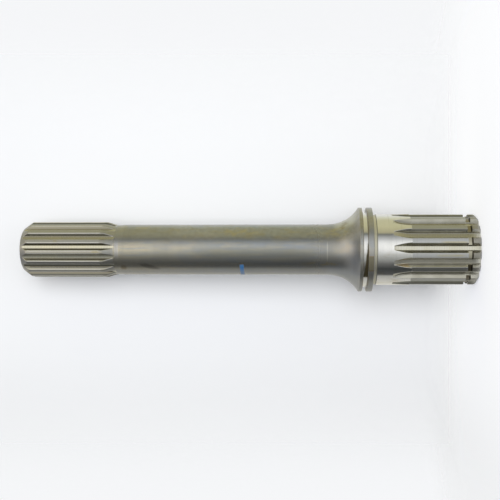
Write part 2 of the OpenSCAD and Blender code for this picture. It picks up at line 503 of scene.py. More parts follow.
# %% Wires for node trees
class Wire:
    """One socket of a node tree. Sums on wires add Math nodes, and make() adds any other node."""

    def __init__(self, tree, socket=None):
        self.tree, self.socket = tree, socket

    def make(self, kind, settings=None, inputs=None, output=0):
        node = self.tree.nodes.new(kind)
        for name, value in (settings or {}).items():
            if name == "stops":
                self.set_stops(node.color_ramp, value)
            else:
                setattr(node, name, value)
        for name, value in (inputs or {}).items():
            if isinstance(value, Wire):
                self.tree.links.new(value.socket, node.inputs[name])
            else:
                node.inputs[name].default_value = value
        return Wire(self.tree, node.outputs[output]) if node.outputs else node

    def set_stops(self, ramp, stops):
        while len(ramp.elements) < len(stops):
            ramp.elements.new(1.0)
        for element, (place, colour) in zip(ramp.elements, stops):
            element.position = place
            element.color = (*colour, 1.0)

    def math(self, operation, *values):
        return self.make("ShaderNodeMath", {"operation": operation}, dict(enumerate(values)))

    def __add__(self, other):
        return self.math("ADD", self, other)

    def __sub__(self, other):
        return self.math("SUBTRACT", self, other)

    def __rsub__(self, other):
        return self.math("SUBTRACT", other, self)

    def __mul__(self, other):
        return self.math("MULTIPLY", self, other)

    def __neg__(self):
        return self.math("MULTIPLY", self, -1.0)

    def __abs__(self):
        return self.math("ABSOLUTE", self)

    __radd__ = __add__
    __rmul__ = __mul__


def rise(value, start, end):
    """0 up to start, 1 from end on, with a soft step between."""
    settings = {"interpolation_type": "SMOOTHSTEP"}
    return value.make("ShaderNodeMapRange", settings, {0: value, 1: start, 2: end})


def band(value, low, high, soft):
    """1 between low and high, with soft edges."""
    return rise(value, low - soft, low + soft) * (1 - rise(value, high - soft, high + soft))


def mix(mask, first, second):
    """first where the mask is 0 and second where it is 1, for colours."""
    settings = {"data_type": "RGBA", "clamp_factor": True}
    as_colour = [value if isinstance(value, Wire) else (*value, 1.0) for value in (first, second)]
    return mask.make("ShaderNodeMix", settings, {0: mask, 6: as_colour[0], 7: as_colour[1]}, 2)


def coats(colour, *layers):
    """Lays tints over a colour in their order, each given as a mask, its strength and its tone."""
    for mask, strength, tone in layers:
        colour = mix(mask * strength, colour, tone)
    return colour


def stretched(place, x, y, z):
    return place.make("ShaderNodeVectorMath", {"operation": "MULTIPLY"}, {0: place, 1: (x, y, z)})


def noise(place, scale, detail=2.0, roughness=0.5):
    inputs = {"Vector": place, "Scale": scale, "Detail": detail, "Roughness": roughness}
    return place.make("ShaderNodeTexNoise", {}, inputs)


def grain(place, around, along, detail=3.0, roughness=0.6):
    """Noise with its own scale round the shaft and along it."""
    return noise(stretched(place, around, around, along), 1.0, detail, roughness)


print("wires ready")

# %% [markdown]
# The shaft's own directions.
# A mark on a turned part is easiest to place by its height and its turn round the axis, as a maker would
# say it. Object coordinates give both, so a mark stays on the steel whatever the view. The front, turn
# 0, is the side that faces the main camera. Tints that cover only one side fade out before the back,
# because the turn jumps from 180 to -180 there and a tint that reached so far would end in a straight
# line.

# %% Surface with height and turn
BACK_FADE = (105, 165)


class Surface:
    """A material's tree with the shaft's own height in mm and turn in degrees from the front."""

    def __init__(self, name):
        self.material = bpy.data.materials.new(name)
        self.material.use_nodes = True
        self.tree = self.material.node_tree
        self.tree.nodes.clear()
        self.wire = Wire(self.tree)
        self.place = self.wire.make("ShaderNodeTexCoord", {}, {}, "Object")
        split = self.place.make("ShaderNodeSeparateXYZ", {}, {0: self.place}).socket.node
        x, y, z = (Wire(self.tree, socket) for socket in split.outputs)
        self.height = z * (1 / MM)
        self.turn = x.math("ARCTAN2", x, -y) * degrees(1)
        self.radius = x.math("SQRT", x * x + y * y) * (1 / MM)

    def share_of(self, spline, start):
        """Share of a pitch, -0.5 to 0.5, from the middle of a space (start 0) or a tooth (start 0.5)."""
        pitches = (self.turn - (degrees(spline.first) - 270)) * (spline.teeth / 360) - start
        return pitches.math("FRACT", pitches + 0.5) - 0.5

    def from_middle(self, spline, start):
        """Distance round the shaft from the middle of the nearest space or tooth, in mm."""
        return abs(self.share_of(spline, start)) * (2 * pi / spline.teeth) * self.radius

    def upper_side(self, start, end):
        """1 on the side that lies uppermost in the photo, fading out before the back."""
        return rise(self.turn, start, end) * (1 - rise(self.turn, *BACK_FADE))

    def lower_side(self, start, end):
        """1 on the side that lies lowest in the photo, fading out before the back."""
        return (1 - rise(self.turn, start, end)) * (1 - rise(-self.turn, *BACK_FADE))

    def spot(self, height, turn, half_z, half_turn, ragged=0.0):
        """An oval patch with a soft edge, torn by noise where it should look ragged."""
        along = (self.height - height) * (1 / half_z)
        across = (self.turn - turn) * (1 / half_turn)
        reach = along.math("SQRT", along * along + across * across)
        if ragged:
            reach = reach + ragged * (noise(self.place, 260.0, 3.0, 0.6) - 0.5)
        return 1 - rise(reach, 0.55, 1.1)

    def strip(self, heights, turns, soft_mm, soft_turn):
        """A patch between two heights and two turns."""
        return band(self.height, *heights, soft_mm) * band(self.turn, *turns, soft_turn)

    def leaf(self, start, end, half_width):
        """A stain on the shank that comes to a point at both ends, each given as (height, turn)."""
        arc = radians(1) * SHANK_R
        half_z, half_arc = (end[0] - start[0]) / 2, (end[1] - start[1]) / 2 * arc
        half_len = hypot(half_z, half_arc)
        up = self.height - (start[0] + end[0]) / 2
        aside = (self.turn - (start[1] + end[1]) / 2) * arc
        along = (up * half_z + aside * half_arc) * (1 / half_len ** 2)
        across = abs(aside * half_z - up * half_arc) * (1 / half_len)
        return 1 - rise(across + half_width * along * along, half_width * 0.6, half_width * 1.1)

    def finish(self, colour, roughness, height, bump_mm, metallic=1.0):
        """Closes the tree with a metal shader, whose fine relief is the height times bump_mm."""
        bump = {"Height": height, "Distance": bump_mm * MM, "Strength": 1.0}
        shader = self.wire.make("ShaderNodeBsdfPrincipled", {}, {
            "Base Color": colour, "Roughness": roughness, "Metallic": metallic,
            "Normal": self.wire.make("ShaderNodeBump", {}, bump)})
        self.wire.make("ShaderNodeOutputMaterial", {}, {"Surface": shader})
        return self.material


finishes = {}


def keep(place, material):
    finishes[place] = material
    print(f"{material.name}: {len(material.node_tree.nodes)} nodes")


print(f"one-sided tints fade out between {BACK_FADE[0]} and {BACK_FADE[1]} degrees from the front")

# %% [markdown]
# Turned steel.
# Most of the shaft is left as the lathe left it, with fine rings and a tone that drifts along it, warmer
# towards the small end. A picture of rings would only fit one view, so noise that is squeezed along the
# axis makes them. Each height where the tone changes is listed once, and a loop blends from one tone to
# the next.

# %% Bare turned steel
COLLAR_STEEL, FLARE_RIM_STEEL = (0.40, 0.40, 0.385), (0.43, 0.425, 0.385)
STEEL_ALONG = [
    (101.5, 106.5, (0.41, 0.41, 0.395)),
    (107, 128, (0.325, 0.325, 0.315)),
    (128, 175, (0.335, 0.352, 0.355)),
    (215, 262, (0.385, 0.385, 0.36)),
    (270, 312, (0.43, 0.415, 0.36)),
]
CLOUD_GREY, MOTTLE_BLUE, TURNING_GREY = (0.30, 0.30, 0.28), (0.30, 0.335, 0.375), (0.30, 0.305, 0.30)
WARM_PATCH = (0.47, 0.425, 0.34)


def bare_turned(s, cloud):
    steel = COLLAR_STEEL
    for start, end, tone in STEEL_ALONG:
        steel = mix(rise(s.height, start, end), steel, tone)
    steel = mix(band(s.height, FLARE_RIM_Z, FLARE_Z, 0.3), steel, FLARE_RIM_STEEL)
    mottle = rise(grain(s.place, 120, 60, 4.0), 0.47, 0.64) * (1 - rise(s.height, 240, 300))
    turning = rise(grain(s.place, 10, 430), 0.38, 0.66)
    patch = rise(grain(s.place, 140, 45), 0.50, 0.66) * rise(s.height, 170, 240)
    return coats(
        steel,
        (rise(cloud, 0.40, 0.70), 0.35, CLOUD_GREY),
        (mottle, 0.45, MOTTLE_BLUE),
        (turning, 0.22, TURNING_GREY),
        (patch, 0.45, WARM_PATCH))


print(f"{len(STEEL_ALONG)} changes of tone along the turned steel")

# %% [markdown]
# Oil, handling and painted shade.
# Old oil has dried on the upper side as an olive film with fine speckles, and wiping has left streaks
# along the front. The lower side, the dark band below the front and the lower half of the front are
# painted darker and cooler, a painted shade. The flare has tints of its own: painted shade near the rim in
# front, a painted highlight on its upper side and a painted cool reflection on its lower side. These are
# thin layers over the steel, so each is a mask, a strength and a tone, and the later ones lie on top.

# %% Film, wiped streaks and painted shade on the sides
# The lower grey and the olive-brown tone below are painted shade, for the lower side and the front's lower
# half.
COOL_GREY, LOWER_SIDE_SHADE, OIL_FILM = (0.36, 0.375, 0.40), (0.29, 0.30, 0.32), (0.37, 0.345, 0.25)
DARK_SPECKLE, PALE_SPECKLE = (0.25, 0.24, 0.19), (0.46, 0.46, 0.43)
WIPED_BLUE, WIPED_CREAM = (0.30, 0.33, 0.38), (0.44, 0.42, 0.34)
# On the flare the pale tone is a painted highlight, the dark one painted shade and the blue one a painted
# cool reflection.
FLARE_OLIVE, FLARE_TOP_HIGHLIGHT = (0.27, 0.25, 0.18), (0.58, 0.575, 0.50)
FLARE_RIM_SHADE, FLARE_COOL_REFLECTION = (0.21, 0.22, 0.24), (0.33, 0.355, 0.39)
NECK_GREY, SHANK_SHADE_OLIVE, RING_GREY = (0.28, 0.29, 0.28), (0.20, 0.195, 0.15), (0.27, 0.27, 0.26)


def oiled(s, steel, rings):
    film = rise(grain(s.place, 170, 95, 4.0, 0.62), 0.48, 0.66) * (0.25 + 0.75 * s.upper_side(8, 30))
    speckle = grain(s.place, 420, 300)
    oily = s.upper_side(12, 30)
    drag = grain(s.place, 480, 42)
    wiped = band(s.turn, -40, 24, 8) * band(s.height, 140, 325, 12)
    steel = coats(
        steel,
        (s.upper_side(14, 32) * rise(s.height, 200, 260), 0.6, COOL_GREY),
        # painted shade: the lower side is tinted darker and cooler
        (s.lower_side(-62, -46), 0.7, LOWER_SIDE_SHADE),
        (film, 0.6, OIL_FILM),
        (rise(speckle, 0.52, 0.66) * oily, 0.3, DARK_SPECKLE),
        ((1 - rise(speckle, 0.36, 0.48)) * oily, 0.3, PALE_SPECKLE),
        (rise(drag, 0.50, 0.62) * wiped, 0.4, WIPED_BLUE),
        ((1 - rise(drag, 0.38, 0.48)) * wiped, 0.35, WIPED_CREAM))
    steel = coats(
        steel,
        (s.strip((107, 117), (24, 48), 4, 8), 0.45, FLARE_OLIVE),
        # painted light: pale upper side, dark front by the rim, cool lower side of the flare
        (s.strip((110, 128), (48, 95), 3, 8), 0.6, FLARE_TOP_HIGHLIGHT),
        (s.strip((107, 114), (-42, 18), 3.5, 8), 0.55, FLARE_RIM_SHADE),
        (s.lower_side(-45, -25) * band(s.height, 107, 135, 3), 0.6, FLARE_COOL_REFLECTION))
    return coats(
        steel,
        (s.strip((275, 335), (20, 85), 8, 6), 0.4, NECK_GREY),
        # painted shade: darkens the dark band below the front, then the lower half of the front
        (band(s.turn, -52, -6, 12) * rise(s.height, 135, 160), 0.2, SHANK_SHADE_OLIVE),
        (s.strip((150, 255), (-18, 3), 22, 8), 0.45, SHANK_SHADE_OLIVE),
        (rise(rings, 0.45, 0.75), 0.25, RING_GREY))


print("oil film, speckles and wiped streaks ready")

# %% [markdown]
# Stains on the turned steel.
# This shaft has been used and handled. Oil has dried to gold in patches, there are two brown spots, a
# dark smear lies near the small spline, and the tool has left a few plain lines. A pale line across the
# front at the foot of the flare is a painted highlight. Spots that are torn by noise look dried, not
# printed.

# %% Stains on the shank
GOLD, DULL_GOLD, SMEAR = (0.42, 0.38, 0.24), (0.38, 0.32, 0.17), (0.15, 0.14, 0.125)
BROWN_SPOT, DARK_BROWN = (0.22, 0.18, 0.11), (0.20, 0.16, 0.10)
# The pale ring line is a painted highlight across the front at the flare's foot.
NECK_BAND, RING_GLINT, TOOL_LINE = (0.41, 0.415, 0.435), (0.62, 0.61, 0.55), (0.24, 0.24, 0.21)
TOOL_PITCH = 2.3


def shank_stains(s, colour):
    torn = rise(grain(s.place, 230, 130, 4.0, 0.65), 0.40, 0.62)
    tool_lines = rise(s.height.math("SINE", s.height * (2 * pi / TOOL_PITCH)), -0.2, 0.6)
    return coats(
        colour,
        (s.spot(212, 44, 19, 18, 0.9) * torn, 0.7, GOLD),
        (s.spot(127, 41, 13, 15, 0.9) * torn, 0.5, GOLD),
        (s.spot(300, 62, 13, 9, 0.8) * torn, 0.7, GOLD),
        (s.spot(141, -34, 18, 7, 1.3) * torn, 0.6, DULL_GOLD),
        (s.spot(323, 60, 5, 20, 0.6) * torn, 0.7, GOLD),
        (s.spot(320.5, -45, 3.4, 8, 0.6), 0.6, BROWN_SPOT),
        (s.spot(120, 58, 4.0, 12, 1.8) * torn, 0.45, DARK_BROWN),
        (s.strip((324.4, 328), (-18, 22), 0.5, 12), 0.65, NECK_BAND),
        # painted highlight: a pale line across the front at the flare's foot
        (s.strip((134.8, 135.5), (-26, 16), 0.2, 6), 0.5, RING_GLINT),
        (tool_lines * s.strip((311.5, 321), (18, 85), 1.0, 6), 0.3, TOOL_LINE),
        (s.leaf((307, -33), (286.5, -51), 3.0), 0.6, SMEAR))


print(f"tool lines {TOOL_PITCH} mm apart beside the small spline")

# %% [markdown]
# Rust on the collar.
# The rims have brown edges where damp has sat, and two rust lines cross the rim beside the journal, with
# a matt patch between them. The walls of the groove between the rims are painted dark on the lower side,
# a painted shade. Noise breaks up the brown edges, because rust never follows an edge evenly.

# %% Rust on the collar
# The dark groove tone on the lower side is a painted shade.
EDGE_BROWN, GROOVE_WALL_SHADE, RUST = (0.26, 0.19, 0.09), (0.10, 0.08, 0.04), (0.33, 0.19, 0.06)
RUST_TURNS = (-9.4, -29.2)


def rim_rust(s, colour):
    """The rusty colour, and a mask of the matt patch between the two rust lines."""
    lower_edge = band(s.height, SEAL_Z - 0.5, SEAL_Z + 0.15, 0.15)
    upper_edge = band(s.height, FLARE_RIM_Z - 0.1, FLARE_RIM_Z + 0.5, 0.15)
    on_rim = rise(s.radius, COLLAR_R - 0.7, COLLAR_R - 0.3)
    uneven = rise(noise(s.place, 120.0, 3.0, 0.6), 0.42, 0.6)
    deep = (1 - rise(s.radius, COLLAR_R - 2.5, COLLAR_R - 0.4)) * band(s.height, SEAL_Z, FLARE_RIM_Z, 0.3)
    first, second = (band(s.turn, turn - 0.5, turn + 0.5, 0.4) for turn in RUST_TURNS)
    on_face = band(s.height, RIM_Z + 0.5, SEAL_Z - 0.3, 0.15) * on_rim
    colour = coats(
        colour,
        ((lower_edge + upper_edge) * on_rim * uneven, 0.8, EDGE_BROWN),
        # painted shade deep in the groove, on the lower side
        (deep * s.lower_side(-40, -5), 0.8, GROOVE_WALL_SHADE),
        ((first + second) * on_face, 0.9, RUST))
    return colour, on_face * band(s.turn, -29, -9.4, 0.5)


print(f"rust lines at turns {RUST_TURNS}")

# %% [markdown]
# Turned finish with its paint dab.
# The layers come together here. A short dab of blue paint on the shank is the only one that isn't metal,
# so it also takes the metal away, and it is thinner further round. The narrow relief beside the journal
# is pale and dull. The rings are far too fine to model, so they are bump.

# %% Turned finish
MATT_PATCH, PALE_RELIEF = (0.27, 0.255, 0.19), (0.74, 0.72, 0.60)
PAINT, THIN_PAINT = (0.04, 0.155, 0.38), (0.22, 0.30, 0.46)
RING_SCALE, RING_MM = 2600, 0.004


def turned_steel():
    s = Surface("turned steel")
    rings = grain(s.place, 12, RING_SCALE)
    cloud = noise(s.place, 38.0, 3.0, 0.55)
    colour = shank_stains(s, oiled(s, bare_turned(s, cloud), rings))
    colour, matt = rim_rust(s, colour)
    relief = band(s.height, RELIEF_Z + 0.2, RIM_Z - 0.1, 0.2)
    relief = relief * (1 - rise(s.radius, JOURNAL_R, JOURNAL_R + 1.0))
    colour = mix(relief, mix(matt, colour, MATT_PATCH), PALE_RELIEF)
    brushed = rise(noise(s.place, 420.0, 2.0, 0.5) + 0.004 * (-s.turn), 0.30, 0.52)
    dab = s.strip((210.7, 214.2), (-95, -36), 0.25, 0.7) * brushed
    thin = 1 - rise(s.turn, -62, -46)
    colour = mix(dab, colour, mix(thin * 0.55, PAINT, THIN_PAINT))
    duller = 1 - rise(s.height, 130, 150)
    roughness = 0.20 + 0.07 * cloud + 0.03 * rings + 0.25 * matt + 0.2 * dab + 0.2 * relief + 0.07 * duller
    return s.finish(colour, roughness, rings, RING_MM, metallic=0.90 - 0.86 * dab)


keep(TURNED, turned_steel())

# %% [markdown]
# Spline lands.
# The tops of the teeth are what is left of the turned blank. Hubs that slide over them rub them along
# the axis, which leaves streaks that way and wears the edges of the small teeth bright. The two large
# lands in front are painted lighter and bluer, a painted highlight. The snap ring groove crosses the large
# lands: its floor is painted pale in front, a painted highlight, and dark round the sides, a painted
# shade, and its corner is a dark slit of painted shadow.

# %% Land finish
LARGE_LAND, SMALL_LAND, END_LAND = (0.43, 0.44, 0.44), (0.40, 0.40, 0.385), (0.35, 0.34, 0.30)
STREAK, CREAM_STREAK = (0.39, 0.375, 0.31), (0.55, 0.51, 0.36)
# The rubbed tone of the two front lands is a painted highlight.
FRONT_LAND_HIGHLIGHT, WORN_EDGE, LAND_RING = (0.54, 0.552, 0.56), (0.76, 0.765, 0.76), (0.29, 0.29, 0.27)
# In the snap ring groove the cream is a painted highlight in front, the brown and olive are painted shade
# at the sides and the slit is a painted shadow.
GROOVE_LOWER_SHADE, GROOVE_UPPER_SHADE = (0.13, 0.11, 0.07), (0.27, 0.24, 0.16)
GROOVE_FRONT_HIGHLIGHT, GROOVE_SLIT_SHADOW = (0.50, 0.475, 0.375), (0.035, 0.03, 0.02)


def snap_groove(s, steel):
    # painted light: pale groove floor in front, shaded sides, a shadow slit in the corner
    groove = band(s.height, SNAP_Z - 0.1, SNAP_Z + SNAP_W, 0.3)
    groove = groove * (1 - rise(s.radius, large.tip_r - 0.6, large.tip_r - 0.2))
    side = mix(s.upper_side(20, 30), GROOVE_LOWER_SHADE, GROOVE_UPPER_SHADE)
    steel = mix(groove, steel, mix(band(s.turn, -15, 26, 2), side, GROOVE_FRONT_HIGHLIGHT))
    return mix(groove * (1 - rise(s.height, SNAP_Z + 0.6, SNAP_Z + 1.2)), steel, GROOVE_SLIT_SHADOW)


def land_steel():
    s = Surface("land steel")
    rings = grain(s.place, 12, RING_SCALE)
    streaks = grain(s.place, 520, 24)
    cloud = noise(s.place, 45.0, 3.0, 0.55)
    steel = mix(rise(s.height, 100, 300), LARGE_LAND, SMALL_LAND)
    steel = mix(rise(streaks, 0.46, 0.62) * 0.5, steel, STREAK)
    # painted highlight: the large lands in front are lighter and bluer
    steel = mix(band(s.turn, -15, 20, 2) * band(s.height, SNAP_Z + SNAP_W, 100, 0.5), steel, FRONT_LAND_HIGHLIGHT)
    steel = mix(1 - rise(s.height, SNAP_Z - 0.5, SNAP_Z + 0.5), steel, END_LAND)
    cream = s.strip((13, 34), (9.5, 13), 3.0, 0.8) + s.strip((16, 38), (-11, -8), 4.0, 1.0)
    worn = rise(s.from_middle(small, 0.5), 0.6, 1.2) * band(s.height, LAND_Z + 3, CHAMFER_Z - 1, 1.0)
    steel = coats(
        steel,
        (cream * rise(streaks, 0.35, 0.5), 0.8, CREAM_STREAK),
        (worn, 0.6, WORN_EDGE),
        (s.spot(382, 17, 2.5, 3, 0.6), 0.6, GOLD),
        (s.spot(345, -5, 4.5, 2.6, 0.6), 0.7, GOLD))
    colour = mix(rise(rings, 0.45, 0.75) * 0.25, snap_groove(s, steel), LAND_RING)
    return s.finish(colour, 0.30 + 0.06 * cloud + 0.04 * streaks, rings, RING_MM, metallic=0.96)


keep(LANDS, land_steel())

# %% [markdown]
# Ground steel.
# The bearing journal is ground to size after turning, so it is nearly a mirror, with very fine lines
# round it and slow waves that bend the mirrored room a little. Hands have left marks on the lower side.
# The floor of the seal ring groove is as bright, apart from a dark wedge in front, a painted shadow of the
# groove's wall, which is also made less metallic and rougher.

# %% Ground finish
JOURNAL_STEEL, JOURNAL_BRIGHT = (0.73, 0.73, 0.71), (0.78, 0.78, 0.77)
# The dark wedge in the seal ring groove is a painted shadow.
HANDLED, SCRATCH, GROOVE_WEDGE_SHADOW = (0.58, 0.52, 0.41), (0.42, 0.41, 0.37), (0.075, 0.062, 0.03)
GRINDING_MM, WAVE_TO_LINE = 0.0005, 120


def ground_steel():
    s = Surface("ground steel")
    lines = grain(s.place, 8, 5200, 2.0)
    waves = grain(s.place, 90, 130, 1.0, 0.5)
    cloud = noise(s.place, 60.0, 2.0, 0.5)
    handled = rise(grain(s.place, 150, 70, 4.0, 0.65), 0.48, 0.66) * s.lower_side(-12, 0)
    scratch = rise(grain(s.place, 9, 1100, 2.0, 0.5), 0.62, 0.70)
    # painted shadow: a dark wedge on the groove floor, in front
    level = SEAL_Z + 0.8 - 0.072 * s.turn + 1.2 * (noise(s.place, 150.0, 2.0, 0.5) - 0.5)
    wedge_shadow = (1 - rise(s.height - level, -0.5, 0.5)) * band(s.turn, -46, 22, 1.5)
    wedge_shadow = wedge_shadow * band(s.height, SEAL_Z - 0.5, FLARE_RIM_Z + 0.5, 0.1)
    colour = mix(rise(cloud, 0.3, 0.7), JOURNAL_STEEL, JOURNAL_BRIGHT)
    colour = coats(colour, (handled, 0.4, HANDLED), (scratch, 0.35, SCRATCH))
    colour = mix(wedge_shadow, colour, GROOVE_WEDGE_SHADOW)
    roughness = 0.05 + 0.04 * lines + 0.03 * cloud + 0.08 * handled + 0.35 * wedge_shadow
    relief = lines + WAVE_TO_LINE * waves
    return s.finish(colour, roughness, relief, GRINDING_MM, metallic=1 - 0.6 * wedge_shadow)


keep(GROUND, ground_steel())

# %% [markdown]
# Milled tooth spaces.
# The cutter leaves the floor and the flanks of each space bright and creamy, with streaks along the
# shaft and faint feed marks across it. Old oil collects in the corners at the root. Light that bounces
# between two flanks darkens a space by itself, but the flanks in front and at the sides are darker
# still, so a painted shade is mixed in there. One space below the front is dusty, which takes away some of
# the metal, and a gold edge is left where its flanks run out.

# %% Milled finish
FLOOR_CREAM, FLANK_CREAM, FEED_MARK = (0.56, 0.545, 0.45), (0.42, 0.41, 0.345), (0.40, 0.38, 0.29)
# The side and front flank tones are painted shade.
SIDE_FLANK_SHADE, FRONT_FLANK_SHADE = (0.15, 0.145, 0.12), (0.13, 0.115, 0.085)
GOLD_EDGE, CORNER_OIL = (0.60, 0.45, 0.23), (0.15, 0.12, 0.08)
FEED, MILLING_MM = 1.45, 0.003


def space_steel(name, spline, floor_steel, flank_steel, side_dark, upper_dark, lower_dark):
    s = Surface(name)
    aside = s.from_middle(spline, 0.0)
    flank = rise(aside, spline.floor_half - 0.12, spline.floor_half + 0.12)
    corner = band(aside, spline.floor_half - 0.05, spline.floor_half + 0.2, 0.12)
    corner = corner * (1 - rise(s.radius, spline.root_r + 0.5, spline.root_r + 1.3))
    streaks = grain(s.place, 1500, 40, 2.0)
    cloud = rise(noise(s.place, 70.0, 2.0, 0.5), 0.35, 0.7)
    feed = s.height.math("SINE", s.height * (2 * pi / FEED)) * noise(s.place, 90.0, 2.0, 0.5)
    # painted shade on the flanks in front, weighted per spline
    front_shade = upper_dark * band(s.turn, 5, 17, 2) + lower_dark * band(s.turn, -9, 5, 2)
    front_shade = front_shade * (1 - 0.7 * band(s.height, 66, 90, 4))
    colour = coats(
        mix(flank, mix(cloud, floor_steel, FLOOR_CREAM), mix(cloud, flank_steel, FLANK_CREAM)),
        (rise(feed, 0.05, 0.4) * (1 - flank), 0.4, FEED_MARK),
        (flank * rise(abs(s.turn), 44, 56), side_dark, SIDE_FLANK_SHADE),
        (flank, front_shade, FRONT_FLANK_SHADE),
        (s.strip((63, 78), (-32, -11), 1.5, 1.0) * flank, 0.5, GOLD_EDGE),
        (corner, 0.65, CORNER_OIL))
    dusty = s.strip((8, 79), (-31, -12), 3, 2)
    relief = streaks + 0.5 * feed
    return s.finish(colour, 0.15 + 0.1 * streaks, relief, MILLING_MM, metallic=1 - 0.15 * dusty)


keep(LARGE_SPACES, space_steel(
    "large tooth spaces", large, floor_steel=(0.60, 0.59, 0.52), flank_steel=(0.52, 0.51, 0.45),
    side_dark=0.3, upper_dark=0.5, lower_dark=0.12))
keep(SMALL_SPACES, space_steel(
    "small tooth spaces", small, floor_steel=(0.53, 0.525, 0.465), flank_steel=(0.40, 0.39, 0.34),
    side_dark=0.55, upper_dark=0.65, lower_dark=0.38))

# %% [markdown]
# Faced ends.
# A facing tool leaves a spiral so fine that it reads as circles round the centre hole. Noise that
# depends on the radius alone gives them.

# %% Faced finish
FACED_PALE, FACED_DULL, FACING_MM = (0.48, 0.48, 0.46), (0.42, 0.41, 0.37), 0.006


def faced_steel():
    s = Surface("faced steel")
    by_radius = {"W": s.radius, "Scale": 2.4, "Detail": 2.0}
    circles = s.wire.make("ShaderNodeTexNoise", {"noise_dimensions": "1D"}, by_radius)
    cloud = noise(s.place, 50.0, 2.0, 0.5)
    colour = mix(rise(cloud, 0.35, 0.7), FACED_PALE, FACED_DULL)
    return s.finish(colour, 0.26 + 0.1 * circles, circles, FACING_MM)


keep(FACED, faced_steel())

# %% [markdown]
# The finishes go on the shaft.
# The mesh already says which finish each face has, by number, so the materials are added in the order of
# those numbers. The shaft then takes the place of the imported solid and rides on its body.

# %% Dress the shaft
for place in sorted(finishes):
    shaft.data.materials.append(finishes[place])
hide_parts("turbine_shaft")
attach(shaft, "root")
print(f"finishes: {[m.name for m in shaft.data.materials]}")

# %% [markdown]
# The stage.
# The shaft stands on its large end on a pale floor. A pale card leans against its back, as the table
# lies under a shaft that is photographed from above, and takes its soft shadow. The paper's colour and
# glow are painted dimmer away from the lamp, a painted shade, and it fades out, so no edge shows. It
# glows a little, but only for the camera and in mirrors, so it stays pale without more light on the shaft.

# %% Pale paper
# LOW_PAPER and LOW_GLOW paint the paper dimmer away from the lamp, a painted shade.
PAPER, LOW_PAPER, LOW_GLOW = (0.79, 0.81, 0.853), (0.72, 0.74, 0.775), 0.88
LAMP_REACH = (-0.20, -0.06)
NO_GLOW = (0.0, 0.0, 0.0)


def paper(name, glow, reach, fade, mirror_reach=1.0, foot=None):
    """Paper that fades out over the distances in fade, measured along the axes in reach."""
    material = bpy.data.materials.new(name)
    material.use_nodes = True
    tree = material.node_tree
    tree.nodes.clear()
    wire = Wire(tree)
    ray = wire.make("ShaderNodeLightPath").socket.node.outputs
    mirrored = Wire(tree, ray["Is Glossy Ray"])
    seen = mirrored.math("MAXIMUM", Wire(tree, ray["Is Camera Ray"]), mirrored)
    seen = seen.math("MAXIMUM", seen, Wire(tree, ray["Is Transmission Ray"]))
    place = wire.make("ShaderNodeTexCoord", {}, {}, "Object")
    flat = stretched(place, *reach)
    far = place.make("ShaderNodeVectorMath", {"operation": "LENGTH"}, {0: flat}, "Value")
    far = far * (1 + (1 / mirror_reach - 1) * mirrored)
    behind = wire.make("ShaderNodeNewGeometry", {}, {}, "Backfacing")
    clear = behind.math("MAXIMUM", behind, rise(far, *fade))
    if foot:
        up = place.make("ShaderNodeSeparateXYZ", {}, {0: place}, "Y")
        clear = clear.math("MAXIMUM", clear, 1 - rise(up, *foot))
    across = place.make("ShaderNodeSeparateXYZ", {}, {0: place}, "X")
    near_lamp = rise(across, *LAMP_REACH)
    lit = wire.make("ShaderNodeBsdfPrincipled", {}, {
        "Base Color": mix(near_lamp, LOW_PAPER, PAPER),
        "Emission Color": mix(seen * (LOW_GLOW + (1 - LOW_GLOW) * near_lamp), NO_GLOW, glow),
        "Emission Strength": 1.0, "Roughness": 1.0, "Specular IOR Level": 0.0})
    nothing = wire.make("ShaderNodeBsdfTransparent")
    shown = wire.make("ShaderNodeMixShader", {}, {0: clear, 1: lit, 2: nothing})
    wire.make("ShaderNodeOutputMaterial", {}, {"Surface": shown})
    return material


print(f"paper is dimmer below {LAMP_REACH[1]} m on the side away from the lamp")

# %% [markdown]
# Floor and card.
# Both are single faces. The card stands just clear of the collar and the small spline, behind them, so
# its lean follows from those two radii. Only the camera sees the card, so it puts no stripe on the steel
# and no shade on the floor.

# %% Floor and card
FLOOR_HALF, FLOOR_GLOW = 1.2, (0.355, 0.37, 0.413)
CARD_GAP, CARD_HALF_W, CARD_HALF, CARD_GLOW = 0.4, 0.4, 0.35, (0.012, 0.016, 0.03)
FOOT_FADE = 0.042


def sheet_of(name, matrix, half_w, half_l, material):
    mesh = bpy.data.meshes.new(name)
    corners = [(-half_w, -half_l, 0), (half_w, -half_l, 0), (half_w, half_l, 0), (-half_w, half_l, 0)]
    mesh.from_pydata(corners, [], [(0, 1, 2, 3)])
    mesh.materials.append(material)
    sheet = bpy.data.objects.new(name, mesh)
    sheet.matrix_world = matrix
    bpy.context.scene.collection.objects.link(sheet)
    return sheet


floor_paper = paper("floor paper", FLOOR_GLOW, reach=(1, 1, 1), fade=(0.16, 0.40), mirror_reach=0.15)
sheet_of("floor", Matrix.Identity(4), FLOOR_HALF, FLOOR_HALF, floor_paper)

card_touch = [(COLLAR_R + CARD_GAP, RIM_Z), (small.tip_r + CARD_GAP, CHAMFER_Z)]
card_lean = atan2(card_touch[0][0] - card_touch[1][0], card_touch[1][1] - card_touch[0][1])
card_foot_y = card_touch[0][0] + card_touch[0][1] * tan(card_lean)
card_up = Vector((0, -sin(card_lean), cos(card_lean)))
card_out = Vector((0, -cos(card_lean), -sin(card_lean)))
card_mid = Vector((0, card_foot_y * MM, 0)) + card_up * CARD_HALF
card_turn = Matrix((card_up.cross(card_out), card_up, card_out)).transposed().to_4x4()
card_paper = paper(
    "card paper", CARD_GLOW, reach=(1, 0, 0), fade=(0.10, 0.24), foot=(-CARD_HALF, FOOT_FADE - CARD_HALF))
card_matrix = Matrix.Translation(card_mid) @ card_turn
card = sheet_of("leaning_card", card_matrix, CARD_HALF_W, CARD_HALF, card_paper)
card.visible_diffuse = False
card.visible_glossy = False
card.visible_transmission = False
card.visible_shadow = False
